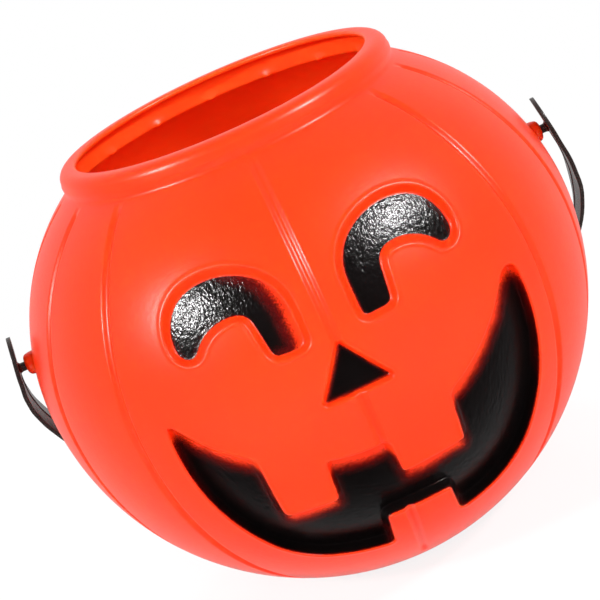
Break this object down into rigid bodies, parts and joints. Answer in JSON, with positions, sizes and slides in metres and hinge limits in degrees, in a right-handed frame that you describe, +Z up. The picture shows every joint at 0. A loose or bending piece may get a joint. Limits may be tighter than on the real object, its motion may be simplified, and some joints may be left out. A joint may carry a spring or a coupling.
{
  "type": "pumpkin candy pail",
  "caption": "Round pumpkin-shaped candy pail with a sunken jack-o'-lantern grin, a raised collar round its open mouth and a swinging strap handle on side pegs.",
  "frame": {"origin": "centre of the flat base, on the surface the pail stands on", "axes": "+Z up through the mouth, -Y out of the face, +X towards the pivot at the viewer's right"},
  "size_m": [0.2096, 0.1999, 0.172],
  "materials": {
    "shell_plastic": "satin orange moulded plastic with a fine grain",
    "face_paint": "sprayed gloss black",
    "strap_plastic": "glossy near-black plastic"
  },
  "bodies": {
    "pail": {"pail_shell": "shell_plastic", "left_eye_paint": "face_paint", "right_eye_paint": "face_paint", "nose_paint": "face_paint", "mouth_paint": "face_paint"},
    "handle": {"carry_handle": "strap_plastic"}
  },
  "joints": [
    {"name": "handle_swing", "type": "hinge", "parent": "pail", "child": "handle", "pos_m": [0, 0, 0.114], "axis": [1, 0, 0], "range_deg": [0, 300]}
  ]
}
